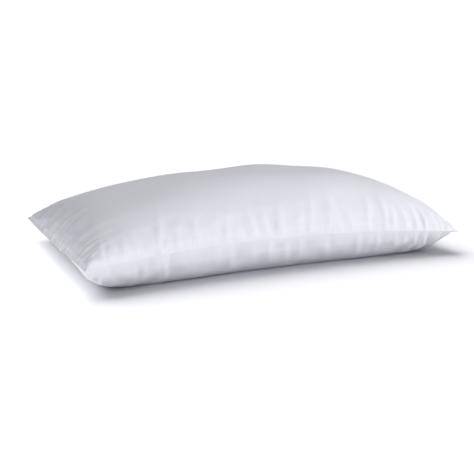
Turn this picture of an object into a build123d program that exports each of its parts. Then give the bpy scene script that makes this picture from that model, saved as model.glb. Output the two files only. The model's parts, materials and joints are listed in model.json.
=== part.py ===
"""A bed pillow: two woven panels sewn together all round, turned out and stuffed with loose fibre.

The origin is the middle of the underside, on the surface the pillow lies on. +Z is up, +X points to
the end that was left open for filling, and +Y to the back long side. Sizes are in millimetres.
"""
from build123d import *
import os

# The stuffed pillow, corner to corner, and from the flat of its underside to its crown.
pillow_length = 712
pillow_width = 462
pillow_height = 152
seam_height = 60

# The sides pull in between the corners, as the stuffing takes up the slack of the cloth.
long_side_pull_in = 20
end_pull_in = 5
corner_radius = 4

# The stuffed halves: the levels of their sections as shares of the way from the seam, how square
# they are in section, and how large the last level is beside the seam line.
crown_levels = (0, 0.25, 0.5, 0.7, 0.85, 0.94, 0.985, 1)
crown_squareness = 2.0
crown_end = 0.12
belly_dip = -14
belly_levels = (0, 0.25, 0.5, 0.75, 0.9, 1)
belly_squareness = 2.6
belly_end = 0.35

# The cloth, its turned-in seam allowance, and the gap between allowances that the thread takes up.
cloth = 0.5
allowance = 10
seam_gap = 0.4

# Threads: the row that joins the panels, and the bead of looper thread along their raw edges.
thread_size = 0.3
thread_inset = 1.5
overlock_size = 1.2
overlock_gap = 0.3
thread_end_gap = 2

# The filling opening, in the middle of the right end, closed by a row that laps the seam's ends.
opening_length = 240
closing_inset = 2.5
closing_lap = 10

# The stuffing keeps clear of the cloth and, at the seam, of the allowances and their overlocking.
fill_gap = 0.6
fill_groove_depth = 13
fill_groove_height = 2.6

# The care label: a blank folded ribbon that hangs from the seam of the right end.
label_width = 32
label_drop = 45
label_thickness = 0.6
label_gap = 0.4
label_offset = 120

half_length = pillow_length / 2
half_width = pillow_width / 2

os.makedirs("parts", exist_ok=True)


def outline_sides(x, y, bow=1.0):
    """Front, right, back and left sides through the corners (x, y), as arcs bowed to the middle."""
    middle_x = x - end_pull_in * bow
    middle_y = y - long_side_pull_in * bow
    front = ThreePointArc((-x, -y), (0, -middle_y), (x, -y), mode=Mode.PRIVATE)
    right = ThreePointArc((x, -y), (middle_x, 0), (x, y), mode=Mode.PRIVATE)
    back = ThreePointArc((x, y), (0, middle_y), (-x, y), mode=Mode.PRIVATE)
    left = ThreePointArc((-x, y), (-middle_x, 0), (-x, -y), mode=Mode.PRIVATE)
    return [front, right, back, left]


def stuffed_form(start, reach, levels, squareness, end, inset):
    """Solid from a starting height to reach above it, or below it where reach is negative."""
    with BuildPart() as form:
        for share in levels:
            size = end + (1 - end) * (1 - share**2) ** (1 / squareness)
            x = (half_length - inset) * size
            y = (half_width - inset) * size
            corner = corner_radius + (0.8 * half_width * size - corner_radius) * share**0.7
            with BuildSketch(Plane.XY.offset(start + reach * share)):
                with BuildLine():
                    add(outline_sides(x, y, 1 - 0.95 * share))
                make_face()
                fillet(vertices(), corner)
        loft()
    return form.part


def crown_form(start, inset):
    """The upper half of the stuffed pillow from a starting height up, inset on every side."""
    reach = pillow_height - inset - start
    return stuffed_form(start, reach, crown_levels, crown_squareness, crown_end, inset)


def belly_form(start, inset):
    """The lower half from a starting height down, a bowl that the resting surface cuts flat."""
    reach = inset + belly_dip - start
    bowl = stuffed_form(start, reach, belly_levels, belly_squareness, belly_end, inset)
    return split(bowl, bisect_by=Plane.XY.offset(inset), keep=Keep.TOP, mode=Mode.PRIVATE)


def seam_frame(low, high, outer, inner):
    """A flat frame between two heights and two insets from the seam line."""
    with BuildPart() as frame:
        with BuildSketch(Plane.XY.offset(low)):
            with BuildLine():
                add(outline_sides(half_length - outer, half_width - outer))
            make_face()
            fillet(vertices(), corner_radius)
            with BuildLine():
                add(outline_sides(half_length - inner, half_width - inner))
            make_face(mode=Mode.SUBTRACT)
        extrude(amount=high - low)
    return frame.part


def side_run(side, inset, start, end):
    """A stretch of one side of the seam line, inset, between two distances from its middle."""
    edge = outline_sides(half_length - inset, half_width - inset)[side]
    run = edge.trim(0.5 + start / edge.length, 0.5 + end / edge.length)
    return Pos(0, 0, seam_height) * run


def thread_along(run, size):
    """A round thread swept along a run."""
    with BuildPart() as thread:
        with BuildSketch(Plane(origin=run @ 0, z_dir=run % 0)):
            Circle(size / 2)
        sweep(path=run)
    return thread.part


# Casing, top panel: the crown of the pillow, with its allowance turned in just above the seam line.
crown_floor = seam_height + seam_gap / 2
crown_shell = crown_form(crown_floor, 0)
crown_hollow = crown_form(crown_floor, cloth)
crown_allowance = seam_frame(crown_floor, crown_floor + cloth, cloth / 2, allowance)
with BuildPart() as casing_top_panel:
    add(crown_shell)
    add(crown_hollow, mode=Mode.SUBTRACT)
    add(crown_allowance)
casing_top_panel.part.label = "casing_top_panel"
export_step(casing_top_panel.part, "parts/casing_top_panel.step")

# Casing, bottom panel: the belly, flat where it rests, with its allowance just below the seam line.
belly_roof = seam_height - seam_gap / 2
belly_shell = belly_form(belly_roof, 0)
belly_hollow = belly_form(belly_roof, cloth)
belly_allowance = seam_frame(belly_roof - cloth, belly_roof, cloth / 2, allowance)
with BuildPart() as casing_bottom_panel:
    add(belly_shell)
    add(belly_hollow, mode=Mode.SUBTRACT)
    add(belly_allowance)
casing_bottom_panel.part.label = "casing_bottom_panel"
export_step(casing_bottom_panel.part, "parts/casing_bottom_panel.step")

# Stuffing: one mass of loose fibre that fills both halves, grooved where the allowances lie in it.
groove_floor = seam_height - fill_groove_height / 2
fill_crown = crown_form(seam_height, cloth + fill_gap)
fill_belly = belly_form(seam_height, cloth + fill_gap)
fill_groove = seam_frame(groove_floor, groove_floor + fill_groove_height, 0, fill_groove_depth)
with BuildPart() as fibre_fill:
    add(fill_crown)
    add(fill_belly)
    add(fill_groove, mode=Mode.SUBTRACT)
fibre_fill.part.label = "fibre_fill"
export_step(fibre_fill.part, "parts/fibre_fill.step")

# Threads: on each side a row that joins the two panels, and a bead that binds their raw edges.
# On the right end both stop at the filling opening, so they are in two runs there.
overlock_inset = allowance + overlock_gap + overlock_size / 2
side_names = ("front", "right", "back", "left")
for side, side_name in enumerate(side_names):
    half_side = half_width if side_name in ("right", "left") else half_length
    rows = [
        ("seam_thread", thread_inset, thread_size),
        ("overlock_thread", overlock_inset, overlock_size),
    ]
    for row_name, inset, size in rows:
        reach = half_side - inset - thread_end_gap
        spans = [(-reach, reach)]
        if side_name == "right":
            spans = [(-reach, -opening_length / 2), (opening_length / 2, reach)]
        with BuildPart() as row:
            for start, end in spans:
                add(thread_along(side_run(side, inset, start, end), size))
        row.part.label = f"{row_name}_{side_name}"
        export_step(row.part, f"parts/{row_name}_{side_name}.step")

# Closing stitch: the row that shuts the filling opening, just inside the line of the seam.
closing_reach = opening_length / 2 + closing_lap
closing_run = side_run(1, closing_inset, -closing_reach, closing_reach)
with BuildPart() as closing_stitch:
    with BuildSketch(Plane(origin=closing_run @ 0, z_dir=closing_run % 0)):
        Circle(thread_size / 2)
    sweep(path=closing_run)
closing_stitch.part.label = "closing_stitch"
export_step(closing_stitch.part, "parts/closing_stitch.step")

# Care label: a blank ribbon folded double, hanging from the seam beside the closed opening.
label_edge = side_run(1, 0, label_offset - label_width / 2, label_offset + label_width / 2)
label_along = label_edge % 0.5
label_out = label_along.cross(Vector(0, 0, 1))
label_top = label_edge @ 0.5 + label_out * label_gap
with BuildPart() as care_label:
    with BuildSketch(Plane(origin=label_top, x_dir=label_along, z_dir=label_out)):
        with Locations((0, -label_drop / 2)):
            Rectangle(label_width, label_drop)
    extrude(amount=label_thickness)
    fold_edges = edges().filter_by(Axis(label_top, label_along)).sort_by(Axis.Z)[:2]
    fillet(fold_edges, label_thickness * 0.45)
care_label.part.label = "care_label"
export_step(care_label.part, "parts/care_label.step")

# The label swings about the middle of its top edge, along the seam.
label_pivot = label_top + label_out * (label_thickness / 2)
print("label pivot", label_pivot, "axis", label_along * -1)
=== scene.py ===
import json
import math

import bpy
import numpy as np
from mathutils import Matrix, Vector


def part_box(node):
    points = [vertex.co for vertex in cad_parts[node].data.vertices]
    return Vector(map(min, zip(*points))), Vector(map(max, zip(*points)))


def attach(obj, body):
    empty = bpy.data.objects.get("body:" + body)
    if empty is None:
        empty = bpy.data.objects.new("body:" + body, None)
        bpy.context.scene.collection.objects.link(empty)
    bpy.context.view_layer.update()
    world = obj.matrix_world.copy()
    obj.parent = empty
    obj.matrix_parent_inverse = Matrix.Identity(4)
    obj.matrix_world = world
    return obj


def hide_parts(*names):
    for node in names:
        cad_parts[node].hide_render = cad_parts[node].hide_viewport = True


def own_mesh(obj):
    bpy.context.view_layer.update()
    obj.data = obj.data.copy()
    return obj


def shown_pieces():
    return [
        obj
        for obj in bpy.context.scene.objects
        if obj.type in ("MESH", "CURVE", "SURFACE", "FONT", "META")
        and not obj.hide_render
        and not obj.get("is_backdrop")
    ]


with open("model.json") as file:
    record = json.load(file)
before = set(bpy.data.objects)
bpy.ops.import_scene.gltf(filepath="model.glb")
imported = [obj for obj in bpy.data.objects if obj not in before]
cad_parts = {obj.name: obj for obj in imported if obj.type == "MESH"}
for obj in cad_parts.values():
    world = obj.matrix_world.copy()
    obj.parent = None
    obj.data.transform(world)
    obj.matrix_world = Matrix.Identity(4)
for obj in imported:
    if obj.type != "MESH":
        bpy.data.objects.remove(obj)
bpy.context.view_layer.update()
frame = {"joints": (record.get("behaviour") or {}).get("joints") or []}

# Casing: two panels of white cotton percale, cut alike, sewn right sides together round the edge
# and turned through an opening in the right end. The filling rounds them into a crown and a belly,
# the belly goes flat where it rests, and the spare cloth gathers into folds along the seam.
cut_length = 0.750
cut_width = 0.500
allowance = 0.010
cloth_thickness = 0.00045
panel_gap = 0.00003
cells_long = 120
cells_wide = 80
edge_crowding = 0.4
filled_length = 0.712
filled_width = 0.4602
left_end_pull = -0.0040
right_end_pull = 0.0044
long_side_pull = 0.0256
seam_height = 0.067
corner_drops = {(-1, -1): 0.019, (-1, 1): 0.024, (1, -1): 0.024, (1, 1): 0.012}
drop_spread = 2.6
crown_height = 0.153
crown_lean = (0.09, -0.15)
crown_roundness, crown_fullness, crown_ridge = 2.25, 0.95, 0.55
crown_ears = {(-1, -1): 0.1, (-1, 1): 0.2, (1, -1): 0.3, (1, 1): 0.3}
belly_ears = {(-1, -1): 0.2, (-1, 1): 0.5, (1, -1): 0.85, (1, 1): 0.6}
belly_depth = 1.25
belly_roundness, belly_fullness, belly_ridge = 5.6, 0.64, 2.7
ear_size = 0.05
# The left end hangs a little lower than the rest of the seam, and the belly under it is slack.
left_sag = 0.014
left_tuck = 0.75
left_tuck_reach = 0.045
shoulder_height = 0.0045
shoulder_reach = 0.016
up = np.array([0.0, 0.0, 1.0])


def crowded(cells):
    """Lines from -1 to 1, closer together towards the seams, where the cloth gathers."""
    even = np.linspace(-1, 1, cells + 1)
    return (1 - edge_crowding) * even + edge_crowding * np.sin(math.pi / 2 * even)


def dome(share, roundness, fullness):
    """1 in the middle, falling to 0 where the share is 1."""
    return np.clip(1 - np.abs(share) ** roundness, 0, 1) ** fullness


def lower_of(first, second, sharpness):
    """The lower of two domes, with the ridge between them rounded off."""
    tiny = 1e-4
    mixed = ((first + tiny) ** -sharpness + (second + tiny) ** -sharpness) / 2
    return mixed ** (-1 / sharpness)


def near_corners(cut_x, cut_y, strengths):
    """How much of each corner's ear, by strength, reaches a place on the cut."""
    reach = np.zeros_like(cut_x)
    for (side_x, side_y), strength in strengths.items():
        distance = np.hypot(cut_length / 2 - side_x * cut_x, cut_width / 2 - side_y * cut_y)
        reach = np.maximum(reach, strength * np.exp(-((distance / ear_size) ** 2)))
    return reach


along, across = np.meshgrid(crowded(cells_long), crowded(cells_wide), indexing="ij")
cut_x = along * cut_length / 2
cut_y = across * cut_width / 2
plan_x = 0.5 * np.sin(math.pi / 2 * along) + 0.5 * along
plan_y = 0.5 * np.sin(math.pi / 2 * across) + 0.5 * across
pull_in = np.where(plan_x < 0, left_end_pull, right_end_pull)
form_x = plan_x * (filled_length / 2 - pull_in * (1 - plan_y**2))
form_y = plan_y * (filled_width / 2 - long_side_pull * (1 - plan_x**2))
seam_level = np.full_like(plan_x, seam_height)
for (side_x, side_y), drop in corner_drops.items():
    seam_level -= drop * ((1 + side_x * plan_x) / 2 * (1 + side_y * plan_y) / 2) ** drop_spread
on_seam = np.zeros_like(plan_x, bool)
on_seam[[0, -1]] = True
on_seam[:, [0, -1]] = True
lean_x = plan_x - crown_lean[0] * (1 - plan_x**2)
lean_y = plan_y - crown_lean[1] * (1 - plan_y**2)
crown_along = dome(lean_x, crown_roundness, crown_fullness)
crown_across = dome(lean_y, crown_roundness, crown_fullness)
rise = lower_of(crown_along, crown_across, crown_ridge)
rise = np.where(on_seam, 0, rise * (1 - near_corners(cut_x, cut_y, crown_ears)))
belly_along = dome(plan_x, belly_roundness, belly_fullness)
belly_across = dome(plan_y, belly_roundness, belly_fullness)
fall = lower_of(belly_along, belly_across, belly_ridge)
fall = np.where(on_seam, 0, fall * (1 - near_corners(cut_x, cut_y, belly_ears)))
sag = left_sag * ((1 - plan_x) / 2) ** 6 * (1 - plan_y**2)
tuck = left_tuck * np.exp(-(((along + 1) * cut_length / 2 / left_tuck_reach) ** 2))
tuck *= np.clip((plan_y + 0.95) / 0.5, 0, 1)
crown_level = seam_level + (crown_height - seam_level) * rise - sag * (1 - rise) ** 3
belly_level = np.maximum((seam_level - sag) * (1 - belly_depth * fall * (1 - tuck)), 0)
crown = np.stack([form_x, form_y, crown_level], -1)
belly = np.stack([form_x, form_y, belly_level], -1)
from_end = cut_length / 2 - np.abs(cut_x)
from_side = cut_width / 2 - np.abs(cut_y)
from_seam = np.minimum(from_end, from_side)


def outward(surface, facing):
    """Unit normals of a grid of points, facing 1 for the crown and -1 for the belly."""
    normals = np.cross(np.gradient(surface, axis=0), np.gradient(surface, axis=1)) * facing
    return normals / np.maximum(np.linalg.norm(normals, axis=-1, keepdims=True), 1e-12)


def crease(run, distance, place, reach, slant, depth, width):
    """A fold that starts at a place on the seam and runs into the panel, wider as it goes."""
    offset = (run - place - slant * distance) / (width * (1 + 12 * distance))
    profile = np.exp(-(offset**2)) - 0.6 * np.exp(-((offset / 1.9 - 0.7) ** 2))
    return depth * profile * np.clip(distance / 0.007, 0, 1) * np.exp(-((distance / reach) ** 2))


fold_draws = np.random.default_rng(11)
bunch_width = 0.025


def drawn_creases(half_side, step, reach, depth, bunches=()):
    """Creases at uneven steps along a side, each up to a reach and a depth, deeper at its bunches."""
    place = -half_side + 0.03
    creases = []
    while place < half_side - 0.025:
        length = reach * fold_draws.uniform(0.5, 1)
        slant = fold_draws.uniform(-0.25, 0.25)
        share = fold_draws.uniform(0.35, 1)
        for bunch in bunches:
            share += 0.8 * math.exp(-(((place - bunch) / bunch_width) ** 2))
        creases.append((place, length, slant, depth * share))
        place += step * fold_draws.uniform(0.6, 1.5)
    return creases


# Each crease is its place along the seam, its reach into the panel, its slant and its depth.
crown_creases = {
    "back": drawn_creases(cut_length / 2, 0.030, 0.045, 0.0012),
    "left": drawn_creases(cut_width / 2, 0.022, 0.110, 0.0017),
    "right": drawn_creases(cut_width / 2, 0.026, 0.090, 0.0020),
}
belly_creases = {
    "back": drawn_creases(cut_length / 2, 0.026, 0.045, 0.0020),
    "left": drawn_creases(cut_width / 2, 0.026, 0.045, 0.0018),
    "right": drawn_creases(cut_width / 2, 0.026, 0.045, 0.0020),
}
# Along the front the spare cloth bunches at four places: one towards the left corner, one in the
# middle, and two towards the right corner.
front_bunches = (-0.21, -0.01, 0.18, 0.26)
crown_creases["front"] = drawn_creases(cut_length / 2, 0.024, 0.070, 0.0017, front_bunches)
belly_creases["front"] = drawn_creases(cut_length / 2, 0.026, 0.050, 0.0018, front_bunches)


def ripples(cut_x, cut_y, count, shortest, longest):
    """Uneven ripples of the cloth, running every way."""
    total = np.zeros_like(cut_x)
    for turn, length, start in zip(
        fold_draws.uniform(0, math.pi, count),
        fold_draws.uniform(shortest, longest, count),
        fold_draws.uniform(0, 2 * math.pi, count),
    ):
        run = cut_x * math.cos(turn) + cut_y * math.sin(turn)
        total += np.sin(2 * math.pi * run / length + start)
    return total / math.sqrt(count / 2)


def folds(creases, width):
    """Height of all the creases of a panel, each of a width where it leaves the seam."""
    runs = {
        "front": (np.where(cut_y < 0, cut_x, 9), from_side),
        "back": (np.where(cut_y > 0, cut_x, 9), from_side),
        "left": (np.where(cut_x < 0, cut_y, 9), from_end),
        "right": (np.where(cut_x > 0, cut_y, 9), from_end),
    }
    height = np.zeros_like(cut_x)
    for side, (run, distance) in runs.items():
        for place, reach, slant, depth in creases[side]:
            height += crease(run, distance, place, reach, slant, depth, width)
    return (height * np.clip(from_seam / 0.004, 0, 1))[..., None]


def give():
    """Height of the loose cloth's ripples near the seam and of the lumps in the middle."""
    near = 0.0006 * ripples(cut_x, cut_y, 40, 0.022, 0.060) * np.exp(-((from_seam / 0.05) ** 2))
    lumps = 0.0010 * ripples(cut_x, cut_y, 12, 0.12, 0.24) * np.clip(from_seam / 0.08, 0, 1)
    return (near * np.clip(from_seam / 0.012, 0, 1) + lumps)[..., None]


off_table = (belly_level > 0.001)[..., None]
shoulder = shoulder_height * (from_side / shoulder_reach) * np.exp(1 - from_side / shoulder_reach)
shoulder = (shoulder * (1 - along**4))[..., None]
broad_fold_width = 0.009
crown_folds = 0.5 * folds(crown_creases, broad_fold_width)
crown = crown + outward(crown, 1) * (crown_folds + give() + shoulder)
belly_folds = 0.5 * folds(belly_creases, broad_fold_width)
belly = belly + outward(belly, -1) * (belly_folds + give()) * off_table
belly[..., 2] = np.maximum(belly[..., 2], 0)
belly[on_seam] = crown[on_seam]

# The filling presses the cloth out to the volume of the filled form. The cloth keeps its cut size,
# so it gathers where the seam is shorter than the cut, and hardly moves in the middle.
crown_number = np.arange(crown[..., 0].size).reshape(on_seam.shape)
belly_number = crown_number.copy()
belly_number[~on_seam] = np.arange((~on_seam).sum()) + crown_number.size
ease_along, ease_across = 1.01, 0.985


def cells(numbers, flip=False):
    """The four corners of every cell of a grid of vertex numbers."""
    corners = [numbers[:-1, :-1], numbers[1:, :-1], numbers[1:, 1:], numbers[:-1, 1:]]
    if flip:
        corners.reverse()
    return np.stack([c.ravel() for c in corners], -1)


def settle(crown, belly, steps):
    """Both panels after a cloth simulation under the filling's pressure."""
    faces = np.concatenate([cells(crown_number), cells(belly_number, True)])
    points = np.concatenate([crown.reshape(-1, 3), belly[~on_seam]])
    mesh = bpy.data.meshes.new("casing_settling")
    mesh.from_pydata(points.tolist(), [], faces.tolist())
    casing = bpy.data.objects.new("casing_settling", mesh)
    bpy.context.scene.collection.objects.link(casing)
    halves = np.concatenate([faces[:, [0, 1, 2]], faces[:, [0, 2, 3]]])
    first, second, third = points[halves[:, 0]], points[halves[:, 1]], points[halves[:, 2]]
    volume = abs((first * np.cross(second, third)).sum() / 6)
    casing.shape_key_add(name="filled")
    flat = casing.shape_key_add(name="cut")
    cut = np.stack([cut_x * ease_along, cut_y * ease_across, np.zeros_like(cut_x)], -1)
    below = cut[~on_seam] - np.array([0, 0, 0.001])
    flat.data.foreach_set("co", np.concatenate([cut.reshape(-1, 3), below]).ravel())
    held = np.clip((from_seam - 0.11) / 0.06, 0, 1)
    corner_hold = 0.6 * near_corners(cut_x, cut_y, {corner: 1 for corner in corner_drops})
    held = np.maximum(held, 0.1 * np.clip(1 - from_seam / 0.01, 0, 1))
    held = np.maximum(held, corner_hold)
    resting = np.maximum(held, np.clip((from_seam - 0.022) / 0.025, 0, 1))
    resting = np.where(belly[..., 2] <= 1e-6, 1, resting)
    group = casing.vertex_groups.new(name="held")
    for numbers, holds in ((crown_number, held), (belly_number, resting)):
        for number, hold in zip(numbers.ravel().tolist(), holds.ravel().tolist()):
            group.add([number], hold, "REPLACE")
    table_mesh = bpy.data.meshes.new("table")
    reach = 1.0
    table_points = [(-reach, -reach, 0), (reach, -reach, 0), (reach, reach, 0), (-reach, reach, 0)]
    table_mesh.from_pydata(table_points, [], [(0, 1, 2, 3)])
    table = bpy.data.objects.new("table", table_mesh)
    bpy.context.scene.collection.objects.link(table)
    table.location.z = -0.0025
    table.modifiers.new("collision", "COLLISION")
    table.collision.thickness_outer = 0.002
    table.collision.cloth_friction = 20
    cloth = casing.modifiers.new("cloth", "CLOTH")
    cloth.settings.quality = 6
    cloth.settings.mass = 0.1
    cloth.settings.tension_stiffness = 60
    cloth.settings.compression_stiffness = 60
    cloth.settings.shear_stiffness = 10
    cloth.settings.bending_stiffness = 0.3
    cloth.settings.tension_damping = 5
    cloth.settings.compression_damping = 5
    cloth.settings.shear_damping = 5
    cloth.settings.bending_damping = 0.5
    cloth.settings.air_damping = 1
    cloth.settings.use_pressure = True
    cloth.settings.uniform_pressure_force = 0
    cloth.settings.use_pressure_volume = True
    cloth.settings.target_volume = volume
    cloth.settings.pressure_factor = 2
    cloth.settings.effector_weights.gravity = 0
    cloth.settings.rest_shape_key = flat
    cloth.settings.vertex_group_mass = "held"
    cloth.settings.pin_stiffness = 1
    cloth.collision_settings.collision_quality = 2
    cloth.collision_settings.distance_min = 0.002
    cloth.collision_settings.use_self_collision = False
    cloth.point_cache.frame_start = 1
    cloth.point_cache.frame_end = steps
    bpy.context.scene.frame_start = 1
    bpy.context.scene.frame_end = steps
    for step in range(1, steps + 1):
        bpy.context.scene.frame_set(step)
    settled = casing.evaluated_get(bpy.context.evaluated_depsgraph_get()).to_mesh()
    places = np.zeros(len(settled.vertices) * 3)
    settled.vertices.foreach_get("co", places)
    places = places.reshape(-1, 3)
    bpy.context.scene.frame_set(1)
    bpy.data.objects.remove(casing)
    bpy.data.objects.remove(table)
    return places[crown_number], places[belly_number]


crown, belly = settle(crown, belly, 20)
belly[..., 2] = np.maximum(belly[..., 2], 0)


def finer(grid):
    """Twice as many cells each way, with the new points on smooth curves through the old ones."""
    for axis in (0, 1):
        rows = np.moveaxis(grid, axis, 0)
        middles = (rows[:-1] + rows[1:]) / 2
        middles[1:-1] = (9 * (rows[1:-2] + rows[2:-1]) - rows[:-3] - rows[3:]) / 16
        middles[0] = (3 * rows[0] + 6 * rows[1] - rows[2]) / 8
        middles[-1] = (3 * rows[-1] + 6 * rows[-2] - rows[-3]) / 8
        made = np.empty((2 * len(rows) - 1, *rows.shape[1:]))
        made[::2] = rows
        made[1::2] = middles
        grid = np.moveaxis(made, 0, axis)
    return grid


coarse_crown, coarse_belly = crown, belly
crown, belly = finer(crown), finer(belly)
belly[..., 2] = np.maximum(belly[..., 2], 0)
cut_x, cut_y = finer(cut_x), finer(cut_y)
from_end = cut_length / 2 - np.abs(cut_x)
from_side = cut_width / 2 - np.abs(cut_y)
from_seam = np.minimum(from_end, from_side)
row_number, column_number = np.indices(cut_x.shape)
ring = np.minimum(
    np.minimum(row_number, row_number[::-1]), np.minimum(column_number, column_number[:, ::-1])
)
pucker_draws = np.random.default_rng(5)
pucker_size = 0.00035
fine_fold_width = 0.0045


def puckers(run):
    """Small uneven gathers along a run of seam, stronger in some stretches than in others."""
    total = np.zeros_like(run)
    lengths = pucker_draws.uniform(0.009, 0.024, 10)
    starts = pucker_draws.uniform(0, 6.3, 10)
    for length, start in zip(lengths, starts):
        total += np.sin(2 * math.pi * run / length + start)
    swell = 0.6 + 0.4 * np.sin(2 * math.pi * run / 0.13 + pucker_draws.uniform(0, 6.3))
    return total * swell / math.sqrt(5)


def pucker_heights():
    """Height of the puckers beside all four sides of one panel."""
    height = np.zeros_like(cut_x)
    for run, distance in ((cut_x, from_side), (cut_y, from_end)):
        fade = np.clip(distance / 0.003, 0, 1) * np.exp(-((distance / 0.014) ** 2))
        height += puckers(run) * fade
    return pucker_size * height[..., None]


crown += outward(crown, 1) * (pucker_heights() + 1.6 * folds(crown_creases, fine_fold_width))
belly += outward(belly, -1) * (pucker_heights() + 1.5 * folds(belly_creases, fine_fold_width))


def seam_ridge(distance):
    """How far the seam line stands out, with a shallow groove inside it."""
    ridge = 0.0004 * np.exp(-((distance / 0.0015) ** 2))
    groove = 0.0005 * np.exp(-(((distance - 0.0055) / 0.003) ** 2))
    return ridge - groove


def eased(share):
    """A share from 0 to 1 with its ends smoothed."""
    return share**2 * (3 - 2 * share)


# The closed opening in the right end is a flat lip, because its edges are turned in and sewn together.
opening_length = 0.240
opening_fade = 0.016
lip_width = 0.004
for panel in (crown, belly):
    panel[..., 0] += np.sign(cut_x) * seam_ridge(from_end)
    panel[..., 1] += np.sign(cut_y) * seam_ridge(from_side)
in_opening = np.clip((opening_length / 2 + opening_fade / 2 - np.abs(cut_y)) / opening_fade, 0, 1)
pinched = np.clip((4 * lip_width - from_end) / (3 * lip_width), 0, 1)
lip = np.where(cut_x > 0, eased(in_opening) * eased(pinched), 0)
middle = (crown + belly) / 2
half_gap = (crown - belly) / 2 * (1 - lip)[..., None]
short = np.clip(0.0016 - 0.0008 * lip - np.linalg.norm(half_gap, axis=-1), 0, None)
half_gap += np.where(ring > 0, short, panel_gap)[..., None] * up
middle[..., 0] += lip * 0.003 * np.clip(1 - from_end / 0.010, 0, 1)
crown = middle + half_gap
belly = middle - half_gap
belly[..., 2] = np.maximum(belly[..., 2], 0)
allowance_rings = int(np.searchsorted(from_end[:cells_long, cells_wide], allowance * 1.01)) - 1


class Reading:
    """A value read off a surface. Arithmetic on it adds Math nodes to the finish it belongs to."""

    def __init__(self, finish, socket):
        self.finish = finish
        self.socket = socket

    def reckon(self, operation, first, second):
        return self.finish.node("ShaderNodeMath", {"operation": operation}, {0: first, 1: second})

    def __add__(self, other):
        return self.reckon("ADD", self, other)

    def __sub__(self, other):
        return self.reckon("SUBTRACT", self, other)

    def __rsub__(self, other):
        return self.reckon("SUBTRACT", other, self)

    def __mul__(self, other):
        return self.reckon("MULTIPLY", self, other)

    def __truediv__(self, other):
        return self.reckon("DIVIDE", self, other)

    __radd__ = __add__
    __rmul__ = __mul__

    def wave(self, length):
        """From -1 to 1 and back over each length."""
        return self.finish.node("ShaderNodeMath", {"operation": "SINE"}, {0: self * (2 * math.pi / length)})

    def within(self, low, high):
        """0 at low and 1 at high, and level beyond them."""
        kind = {"interpolation_type": "SMOOTHSTEP"}
        span = {"Value": self, "From Min": low, "From Max": high}
        return self.finish.node("ShaderNodeMapRange", kind, span)

    def size(self):
        """The value without its sign."""
        return self.finish.node("ShaderNodeMath", {"operation": "ABSOLUTE"}, {0: self})


class Finish:
    """A material for one of the pillow's pieces, built up node by node."""

    def __init__(self, name):
        self.material = bpy.data.materials.new(name)
        self.material.use_nodes = True
        self.tree = self.material.node_tree

    def node(self, kind, settings, sockets, output=0):
        """Adds a node, sets it up, feeds its sockets and reads one of its outputs."""
        made = self.tree.nodes.new(kind)
        for setting, value in settings.items():
            setattr(made, setting, value)
        self.feed(made, sockets)
        return Reading(self, made.outputs[output])

    def feed(self, node, sockets):
        for name, value in sockets.items():
            if isinstance(value, Reading):
                self.tree.links.new(value.socket, node.inputs[name])
            else:
                node.inputs[name].default_value = value

    def surface(self, sockets):
        """Feeds the shader that the material ends in."""
        self.feed(self.tree.nodes["Principled BSDF"], sockets)

    def place(self, name):
        """Where a point lies on the piece, as stored with its mesh, split into three readings."""
        stored = self.node("ShaderNodeAttribute", {"attribute_name": name}, {}, "Vector")
        return [self.node("ShaderNodeSeparateXYZ", {}, {0: stored}, axis) for axis in "XYZ"]

    def noise(self, x, y, z, detail=2.0, roughness=0.5, distortion=0.0):
        """Smooth noise from 0 to 1 over three readings or numbers."""
        spot = self.node("ShaderNodeCombineXYZ", {}, {"X": x, "Y": y, "Z": z})
        look = {"Scale": 1.0, "Detail": detail, "Roughness": roughness, "Distortion": distortion}
        return self.node("ShaderNodeTexNoise", {}, {"Vector": spot, **look})

    def blend(self, share, first, second):
        """A colour between two others."""
        sockets = {0: share, 6: (*first, 1), 7: (*second, 1)}
        return self.node("ShaderNodeMix", {"data_type": "RGBA"}, sockets, 2)

    def bump(self, height):
        """A normal from a height in metres."""
        return self.node("ShaderNodeBump", {}, {"Height": height, "Strength": 1.0, "Distance": 1.0})


percale = Finish("white_percale")
warp, weft, seam_distance = percale.place("cut")
weave = warp.wave(0.0009) * weft.wave(0.0009)
warp_slub = percale.noise(warp * 60, weft * 1600, 0.0)
weft_slub = percale.noise(warp * 1600, weft * 60, 7.0)
mottle = percale.noise(warp * 22, weft * 22, 3.0, detail=4.0)
by_side = 1 - (cut_width / 2 - weft.size()).within(0.0, 0.045)
by_end = 1 - (cut_length / 2 - warp.size()).within(0.0, 0.045)
side_gathers = percale.noise(warp * 210, weft * 16, 1.0, detail=3.0) * by_side
end_gathers = percale.noise(warp * 16, weft * 210, 2.0, detail=3.0) * by_end
crinkle = percale.noise(warp * 55, weft * 55, 5.0, detail=4.0, roughness=0.55, distortion=0.6)
doubled = (1 - seam_distance.within(0.009, 0.0115)) * 0.35
tone = (warp_slub + weft_slub) * 0.30 + mottle * 0.4 + doubled - 0.1
percale.surface({
    "Base Color": percale.blend(tone, (0.700, 0.708, 0.752), (0.775, 0.780, 0.820)),
    "Roughness": 0.78 + 0.16 * weft_slub,
    "Sheen Weight": 0.18,
    "Sheen Roughness": 0.45,
    "Specular IOR Level": 0.35,
    "Normal": percale.bump(
        weave * 0.000012
        + (warp_slub + weft_slub) * 0.00004
        + (side_gathers + end_gathers) * 0.0007
        + crinkle * 0.00035
    ),
})


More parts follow.
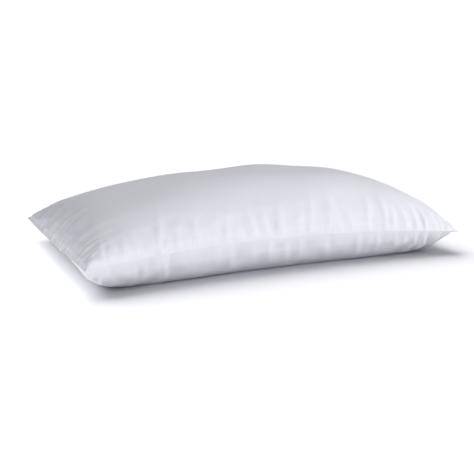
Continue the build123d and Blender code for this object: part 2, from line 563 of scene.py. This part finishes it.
def build(name, points, faces, finish, stored, smooth=True):
    """A closed mesh piece with its places stored on its vertices."""
    mesh = bpy.data.meshes.new(name)
    mesh.from_pydata(np.asarray(points).tolist(), [], [tuple(face) for face in faces])
    mesh.materials.append(finish.material)
    for stored_name, values in stored.items():
        attribute = mesh.attributes.new(stored_name, "FLOAT_VECTOR", "POINT")
        attribute.data.foreach_set("vector", np.asarray(values, np.float32).ravel())
    mesh.polygons.foreach_set("use_smooth", np.full(len(mesh.polygons), smooth))
    mesh.validate()
    mesh.update()
    piece = bpy.data.objects.new(name, mesh)
    bpy.context.scene.collection.objects.link(piece)
    return piece


def panel(name, surface, facing):
    """A panel and its turned-in allowance, as one sheet with a right side and a wrong side."""
    normals = outward(surface, facing)
    wrong = surface - normals * cloth_thickness
    inside = np.zeros_like(surface)
    inside[..., 0] = -np.sign(cut_x) * (from_end < 1e-6)
    inside[..., 1] = -np.sign(cut_y) * (from_side < 1e-6)
    corner_lift = facing * cloth_thickness * up
    wrong = np.where((ring == 0)[..., None], surface + inside * cloth_thickness + corner_lift, wrong)
    turned = middle + facing * panel_gap * up
    turned_wrong = turned + facing * cloth_thickness * up
    turned_in = (ring > 0) & (ring <= allowance_rings)
    count = ring.size
    right_number = np.arange(count).reshape(ring.shape)
    wrong_number = right_number + count
    turned_number = right_number.copy()
    turned_number[turned_in] = 2 * count + np.arange(turned_in.sum())
    turned_wrong_number = wrong_number.copy()
    turned_wrong_number[turned_in] = 2 * count + turned_in.sum() + np.arange(turned_in.sum())
    up_facing = facing < 0
    faces = [cells(right_number, up_facing), cells(wrong_number, not up_facing)]
    in_allowance = cells(ring).max(axis=1) <= allowance_rings
    faces.append(cells(turned_number, not up_facing)[in_allowance])
    faces.append(cells(turned_wrong_number, up_facing)[in_allowance])
    first, last = allowance_rings, -1 - allowance_rings
    span = slice(allowance_rings, -allowance_rings)
    raw_edges = [((span, first), False), ((span, last), True), ((first, span), True), ((last, span), False)]
    for edge, flip in raw_edges:
        rims = np.stack([turned_number[edge], turned_wrong_number[edge]], 1)
        faces.append(cells(rims, flip ^ up_facing))
    points = np.concatenate([
        surface.reshape(-1, 3), wrong.reshape(-1, 3), turned[turned_in], turned_wrong[turned_in],
    ])
    cut = np.stack([cut_x, cut_y, from_seam], -1)
    folded_x = np.where(from_end < allowance * 1.05, np.sign(cut_x) * cut_length - cut_x, cut_x)
    folded_y = np.where(from_side < allowance * 1.05, np.sign(cut_y) * cut_width - cut_y, cut_y)
    folded = np.stack([folded_x, folded_y, -from_seam], -1)
    places = np.concatenate([cut.reshape(-1, 3), cut.reshape(-1, 3), folded[turned_in], folded[turned_in]])
    piece = build(name, points, np.concatenate(faces), percale, {"cut": places})
    folded_edge = np.zeros(len(points), bool)
    folded_edge[right_number[ring == 0]] = True
    folded_edge[wrong_number[ring == 0]] = True
    ends = np.zeros(2 * len(piece.data.edges), np.int64)
    piece.data.edges.foreach_get("vertices", ends)
    sharp = piece.data.attributes.new("sharp_edge", "BOOLEAN", "EDGE")
    sharp.data.foreach_set("value", folded_edge[ends.reshape(-1, 2)].all(axis=1))
    return piece


cad_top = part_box("casing_top_panel")[1].z
press = next(joint for joint in frame["joints"] if joint["name"] == "press")
pressed = 1 - max(abs(limit) for limit in press["range_m"]) / cad_top
crown_panel = panel("crown_panel", crown, 1)
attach(crown_panel, "upper_casing")
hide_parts("casing_top_panel")
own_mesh(crown_panel)
belly_panel = panel("belly_panel", belly, -1)
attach(belly_panel, "lower_casing")
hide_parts("casing_bottom_panel")
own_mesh(belly_panel)

# Stuffing: one mass of loose siliconised polyester fibre, blown in through the opening. It fills
# both panels to just inside the cloth and stops short of the allowances at the seam.
fill_start = 4
fill_clearance = 0.0016
inner = np.s_[fill_start:-fill_start, fill_start:-fill_start]
coarse_x, coarse_y = cut_x[::2, ::2][inner], cut_y[::2, ::2][inner]
lump_top = 0.0006 * (1.5 - ripples(coarse_x, coarse_y, 24, 0.018, 0.05))
lump_under = 0.0006 * (1.5 - ripples(coarse_x, coarse_y, 24, 0.018, 0.05))
fill_top = (coarse_crown - outward(coarse_crown, 1) * fill_clearance)[inner]
fill_under = (coarse_belly - outward(coarse_belly, -1) * fill_clearance)[inner]
fill_middle = (fill_top[..., 2] + fill_under[..., 2]) / 2
most_lump = 0.002
thinnest = 0.0005
pressed_top = fill_top[..., 2] - np.clip(lump_top, 0, most_lump)
pressed_under = fill_under[..., 2] + np.clip(lump_under, 0, most_lump)
fill_top[..., 2] = np.maximum(pressed_top, fill_middle + thinnest)
fill_under[..., 2] = np.minimum(pressed_under, fill_middle - thinnest)
top_number = np.arange(fill_middle.size).reshape(fill_middle.shape)
under_number = top_number + fill_middle.size


def closed_rims(upper, lower):
    """Faces that close the four edges between an upper and a lower grid of vertex numbers."""
    edges = ((np.s_[:, 0], True), (np.s_[:, -1], False), (np.s_[0, :], False), (np.s_[-1, :], True))
    return [cells(np.stack([upper[edge], lower[edge]], 1), flip) for edge, flip in edges]


fill_faces = [cells(top_number), cells(under_number, True), *closed_rims(top_number, under_number)]
fibre = Finish("polyester_fibre")
fibre_x, fibre_y, fibre_z = fibre.place("spot")
strands = fibre.noise(fibre_x * 160, fibre_y * 900, fibre_z * 500, detail=5.0, distortion=2.5)
clumps = fibre.noise(fibre_x * 40, fibre_y * 40, fibre_z * 40, detail=3.0)
fibre.surface({
    "Base Color": fibre.blend(strands * 0.6 + clumps * 0.4, (0.66, 0.67, 0.69), (0.86, 0.86, 0.87)),
    "Roughness": 0.62 + 0.3 * strands,
    "Sheen Weight": 0.4,
    "Normal": fibre.bump(strands * 0.0009 + clumps * 0.0015),
})
fill_points = np.concatenate([fill_top.reshape(-1, 3), fill_under.reshape(-1, 3)])
fibre_mass = build("fibre_mass", fill_points, np.concatenate(fill_faces), fibre, {"spot": fill_points})
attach(fibre_mass, "lower_casing")
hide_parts("fibre_fill")
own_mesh(fibre_mass)

# Seam rows: a lockstitch in spun polyester joins the two allowances on each side, a needle thread
# above and a bobbin thread below. At the right end it stops each side of the filling opening.
thread_size = 0.0003
stitch_length = 0.0028
seam_depth = 0.0015
thread_end_gap = 0.002
row_depths = from_side[cells_long]


def line_in(surface, side, depth):
    """Points of a surface along one side, a depth of cloth in from the seam, and their places on it."""
    rows = {
        "front": surface.swapaxes(0, 1),
        "back": surface.swapaxes(0, 1)[::-1],
        "left": surface,
        "right": surface[::-1],
    }[side]
    row = int(np.searchsorted(row_depths, depth, side="right")) - 1
    share = (depth - row_depths[row]) / (row_depths[row + 1] - row_depths[row])
    runs = cut_x[:, 0] if side in ("front", "back") else cut_y[0]
    return runs, rows[row] * (1 - share) + rows[row + 1] * share


def along_line(line, places):
    """Points at given places along a line."""
    runs, points = line
    return np.stack([np.interp(places, runs, points[:, axis]) for axis in range(3)], -1)


def tube(path, size, sides=6):
    """Points, faces and places of a closed round thread along a path."""
    path = np.asarray(path)
    ways = np.gradient(path, axis=0)
    ways /= np.linalg.norm(ways, axis=1, keepdims=True)
    across = np.cross(ways[0], (0.3, 0.2, 0.9))
    angles = np.arange(sides) * 2 * math.pi / sides
    points = []
    for spot, way in zip(path, ways):
        across = across - way * across.dot(way)
        across /= np.linalg.norm(across)
        beside = np.cross(way, across)
        for angle in angles:
            points.append(spot + size / 2 * (across * math.cos(angle) + beside * math.sin(angle)))
    lengths = np.concatenate([[0], np.cumsum(np.linalg.norm(np.diff(path, axis=0), axis=1))])
    places = np.stack([
        np.repeat(lengths, sides), np.tile(np.cos(angles), len(path)), np.tile(np.sin(angles), len(path)),
    ], -1)
    faces = []
    for start in range(0, (len(path) - 1) * sides, sides):
        for corner in range(sides):
            after = (corner + 1) % sides
            faces.append((start + corner, start + after, start + after + sides, start + corner + sides))
    last = (len(path) - 1) * sides
    faces.append(tuple(range(sides))[::-1])
    faces.append(tuple(range(last, last + sides)))
    return points, faces, places


def thread_piece(name, paths, size, finish):
    """One piece of several runs of thread."""
    points, faces, places = [], [], []
    for path in paths:
        run_points, run_faces, run_places = tube(path, size)
        start = len(points)
        points.extend(run_points)
        faces.extend([tuple(number + start for number in face) for face in run_faces])
        places.extend(run_places)
    return build(name, points, faces, finish, {"ply": places})


def lockstitch(upper, lower, start, end):
    """The needle and bobbin threads of a row between two lines, from one place to another."""
    count = int((end - start) / stitch_length)
    phases = np.array([0, 0.14, 0.5, 0.86])
    heights = np.array([0, 0.92, 1, 0.92])
    places = (start + stitch_length * (np.arange(count)[:, None] + phases)).ravel()
    share = np.tile(heights, count)[:, None]
    above, under = along_line(upper, places), along_line(lower, places)
    between = (above + under) / 2
    return [between + (above - between) * share, between + (under - between) * share]


spun = Finish("spun_polyester_thread")
ply_run, ply_cos, ply_sin = spun.place("ply")
twist_turn = ply_run * (2 * math.pi / 0.0006)
twist_sin = spun.node("ShaderNodeMath", {"operation": "SINE"}, {0: twist_turn})
twist_cos = spun.node("ShaderNodeMath", {"operation": "COSINE"}, {0: twist_turn})
twist = twist_sin * ply_cos + twist_cos * ply_sin
fuzz = spun.noise(ply_run * 3000, ply_cos * 2, ply_sin * 2)
spun.surface({
    "Base Color": spun.blend(twist * 0.3 + 0.3 + fuzz * 0.3, (0.70, 0.71, 0.74), (0.88, 0.88, 0.90)),
    "Roughness": 0.5 + 0.25 * fuzz,
    "Sheen Weight": 0.25,
    "Normal": spun.bump(twist * 0.00002 + fuzz * 0.00001),
})
stack_height = panel_gap + cloth_thickness + 0.4 * thread_size


def thread_runs(side, depth):
    """Where a row starts and stops along a side, clear of the corners and of the opening."""
    half_side = cut_length / 2 if side in ("front", "back") else cut_width / 2
    reach = half_side - depth - thread_end_gap
    if side == "right":
        return [(-reach, -opening_length / 2), (opening_length / 2, reach)]
    return [(-reach, reach)]


def sewn(piece, node):
    """Sewing goes with the lower panel, in place of its part from the model."""
    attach(piece, "lower_casing")
    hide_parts(node)
    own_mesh(piece)


sides = ("front", "right", "back", "left")
for side in sides:
    runs, points = line_in(middle, side, seam_depth)
    paths = []
    for start, end in thread_runs(side, seam_depth):
        lift = stack_height * up
        paths.extend(lockstitch((runs, points + lift), (runs, points - lift), start, end))
    sewn(thread_piece(f"lockstitch_{side}", paths, thread_size, spun), f"seam_thread_{side}")

# Overlock: looper threads wrapped over the raw edges of both allowances so that they can't fray,
# in a run of loops from the seam side of the allowance round its edge and back.
overlock_pitch = 0.0030
overlock_thread_size = 0.00035
overlock_inset = 0.012
loop_steps = (
    (0.0062, 1.0), (0.0088, 1.15), (0.0103, 0.8), (0.0107, 0.0),
    (0.0103, -0.8), (0.0088, -1.15), (0.0062, -1.0), (0.0088, -1.3),
    (0.0105, -0.9), (0.0111, 0.0), (0.0105, 0.9), (0.0088, 1.3),
)
for side in sides:
    lines = [line_in(middle, side, depth) for depth, height in loop_steps]
    paths = []
    for start, end in thread_runs(side, overlock_inset):
        count = int((end - start) / overlock_pitch)
        path = np.zeros((count, len(loop_steps), 3))
        for step, ((depth, height), line) in enumerate(zip(loop_steps, lines)):
            places = start + overlock_pitch * (np.arange(count) + step / len(loop_steps))
            path[:, step] = along_line(line, places) + height * stack_height * up
        paths.append(path.reshape(-1, 3))
    sewn(thread_piece(f"overlock_{side}", paths, overlock_thread_size, spun), f"overlock_thread_{side}")

# Closing row: after filling, the opening's edges are turned in and topstitched shut by machine, so
# this row alone shows on the outside, as a line of stitches on both faces of the lip.
closing_depth = 0.0025
closing_lap = 0.010
closing_thread_size = 0.00045
closing_lift = 0.00006
closing_end = opening_length / 2 + closing_lap
runs, above = line_in(crown + closing_lift * up, "right", closing_depth)
runs, under = line_in(belly - closing_lift * up, "right", closing_depth)
closing_paths = lockstitch((runs, above), (runs, under), -closing_end, closing_end)
sewn(thread_piece("closing_row", closing_paths, closing_thread_size, spun), "closing_stitch")

# Care label: a blank satin ribbon, folded in half and caught by its ends in the seam of the right
# end, so that it hangs down the belly as a flat loop.
label_low, label_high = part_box("care_label")
label_width = label_high.y - label_low.y
label_drop = label_high.z - label_low.z
label_centre = (label_high.y + label_low.y) / 2
ribbon_thickness = 0.00022
ribbon_cells = 20
seam_runs, seam_points = line_in(middle, "right", 0.0)
seam_place = np.interp(label_centre, seam_points[:, 1], seam_runs)
label_root = along_line((seam_runs, seam_points), [seam_place])[0]
down = np.linspace(0, 1, 15)
outer_gap = 0.0005 + 0.0006 * down
outer = np.stack([outer_gap, -label_drop * 0.98 * down], -1)
turn = np.linspace(0, math.pi, 7)[1:-1]
fold = np.stack([outer_gap[-1] * np.cos(turn), outer[-1, 1] - outer_gap[-1] * np.sin(turn)], -1)
ribbon_path = np.concatenate([outer, fold, (outer * (-1, 1))[::-1]])
ribbon_ways = np.gradient(ribbon_path, axis=0)
ribbon_ways /= np.linalg.norm(ribbon_ways, axis=1, keepdims=True)
ribbon_sides = np.stack([-ribbon_ways[:, 1], ribbon_ways[:, 0]], -1)
across_ribbon = np.linspace(-0.5, 0.5, ribbon_cells + 1)
ribbon_lengths = np.concatenate([[0], np.cumsum(np.linalg.norm(np.diff(ribbon_path, axis=0), axis=1))])


def ribbon_face(offset):
    """One face of the ribbon, off its middle by an offset, curling a little towards its free end."""
    path = ribbon_path + ribbon_sides * offset
    x, share = np.meshgrid(path[:, 0], across_ribbon, indexing="ij")
    z = np.broadcast_to(path[:, 1:2], x.shape)
    hang = -z / label_drop
    curl = 0.0032 * hang**2 + 0.0022 * hang**2 * np.sin(2.6 * share + 0.6) + 0.0005 * hang * share**2
    y = label_centre + share * label_width + 0.0012 * hang
    return np.stack([label_root[0] + 0.0012 + x + curl, y, label_root[2] + z], -1)


ribbon_right = ribbon_face(ribbon_thickness / 2)
ribbon_wrong = ribbon_face(-ribbon_thickness / 2)
ribbon_count = ribbon_right[..., 0].size
right_number = np.arange(ribbon_count).reshape(ribbon_right.shape[:2])
wrong_number = right_number + ribbon_count
ribbon_faces = [cells(right_number), cells(wrong_number, True), *closed_rims(right_number, wrong_number)]
run, share = np.meshgrid(ribbon_lengths, across_ribbon * label_width, indexing="ij")
ribbon_places = np.stack([share, run, np.zeros_like(run)], -1).reshape(-1, 3)
satin = Finish("satin_ribbon")
ribbon_across, ribbon_run = satin.place("ribbon")[:2]
ribs = ribbon_run.wave(0.0007)
floats = satin.noise(ribbon_across * 1500, ribbon_run * 90, 0.0)
selvedge = (ribbon_across.size() - label_width / 2 + 0.0016).within(0.0, 0.0006)
satin.surface({
    "Base Color": satin.blend(floats * 0.7 + selvedge * 0.3, (0.74, 0.74, 0.76), (0.88, 0.88, 0.89)),
    "Roughness": 0.30 + 0.22 * floats + 0.2 * selvedge,
    "Sheen Weight": 0.15,
    "Normal": satin.bump(ribs * 0.00001 + floats * 0.00002 + selvedge * ribs * 0.00003),
})
care_ribbon = build(
    "care_ribbon",
    np.concatenate([ribbon_right.reshape(-1, 3), ribbon_wrong.reshape(-1, 3)]),
    np.concatenate(ribbon_faces),
    satin,
    {"ribbon": np.concatenate([ribbon_places, ribbon_places])},
)
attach(care_ribbon, "label")
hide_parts("care_label")
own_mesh(care_ribbon)

# Studio: a plain white floor and a white surround that only the camera sees. A key light from the
# front right and a soft fill from the front left reach the pillow alone, and a broad sun from
# behind and to the left reaches the floor alone.
floor_radius = 7.0
floor_corners = 64
floor_drop = 0.0004
wall_height = 6.0
floor_finish = Finish("pale_floor")
floor_x, floor_y = floor_finish.place("spot")[:2]
floor_speckle = floor_finish.noise(floor_x * 30, floor_y * 30, 0.0)
floor_finish.surface({
    "Base Color": floor_finish.blend(floor_speckle, (0.86, 0.86, 0.87), (0.88, 0.88, 0.89)),
    "Roughness": 0.9 + 0.05 * floor_speckle,
    "Specular IOR Level": 0.0,
})
turns = np.arange(floor_corners) * 2 * math.pi / floor_corners
rim_level = np.full(floor_corners, -floor_drop)
rim = np.stack([floor_radius * np.cos(turns), floor_radius * np.sin(turns), rim_level], -1)
floor = build("floor", rim, [tuple(range(floor_corners))], floor_finish, {"spot": rim}, smooth=False)
floor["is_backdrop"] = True
surround_finish = Finish("white_surround")
surround_finish.surface({
    "Base Color": (1.0, 1.0, 1.0, 1.0),
    "Emission Color": (1.0, 1.0, 1.0, 1.0),
    "Emission Strength": 1.05,
})
wall = np.concatenate([rim, rim + np.array([0, 0, wall_height])])
wall_faces = []
for corner in range(floor_corners):
    after = (corner + 1) % floor_corners
    wall_faces.append((corner, after, after + floor_corners, corner + floor_corners))
surround = build("surround", wall, wall_faces, surround_finish, {"spot": wall}, smooth=False)
surround.visible_diffuse = False
surround.visible_glossy = False
surround.visible_transmission = False
surround.visible_shadow = False
surround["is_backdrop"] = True


def lamp(name, place, target, size, power):
    """A square soft white light that faces a target."""
    data = bpy.data.lights.new(name, "AREA")
    data.size = size
    data.energy = power
    piece = bpy.data.objects.new(name, data)
    bpy.context.scene.collection.objects.link(piece)
    piece.location = place
    piece.rotation_mode = "QUATERNION"
    piece.rotation_quaternion = (Vector(place) - Vector(target)).to_track_quat("Z", "Y")
    return piece


pillow_heart = (0, 0, 0.05)
key_light = lamp("front_right_light", (1.6, -1.5, 1.6), pillow_heart, 0.6, 44)
fill_light = lamp("front_left_light", (-1.9, -1.2, 0.5), pillow_heart, 0.8, 13)
pillow_only = bpy.data.collections.new("pillow_only")
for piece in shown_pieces():
    pillow_only.objects.link(piece)
key_light.light_linking.receiver_collection = pillow_only
fill_light.light_linking.receiver_collection = pillow_only
sun_data = bpy.data.lights.new("floor_light", "SUN")
sun_data.energy = 3.3
sun_data.angle = math.radians(60)
floor_light = bpy.data.objects.new("floor_light", sun_data)
bpy.context.scene.collection.objects.link(floor_light)
floor_light.rotation_euler = (math.radians(-27), math.radians(-22), 0)
floor_only = bpy.data.collections.new("floor_only")
floor_only.objects.link(floor)
floor_light.light_linking.receiver_collection = floor_only
world = bpy.data.worlds.new("studio")
world.use_nodes = True
world.node_tree.nodes["Background"].inputs["Color"].default_value = (0.93, 0.94, 1.0, 1.0)
world.node_tree.nodes["Background"].inputs["Strength"].default_value = 0.34
bpy.context.scene.world = world
bpy.context.scene.view_settings.view_transform = "Standard"

# Camera: low, in front of the pillow and to its left, looking at its middle.
camera_place = Vector((-0.642, -1.409, 0.379))
camera_target = Vector((0.001, -0.008, 0.0195))
camera_data = bpy.data.cameras.new("camera")
camera_data.lens = 61.5
camera_data.sensor_width = 36
camera = bpy.data.objects.new("camera", camera_data)
bpy.context.scene.collection.objects.link(camera)
camera.location = camera_place
camera.rotation_mode = "QUATERNION"
camera.rotation_quaternion = (camera_target - camera_place).to_track_quat("-Z", "Y")
bpy.context.scene.camera = camera
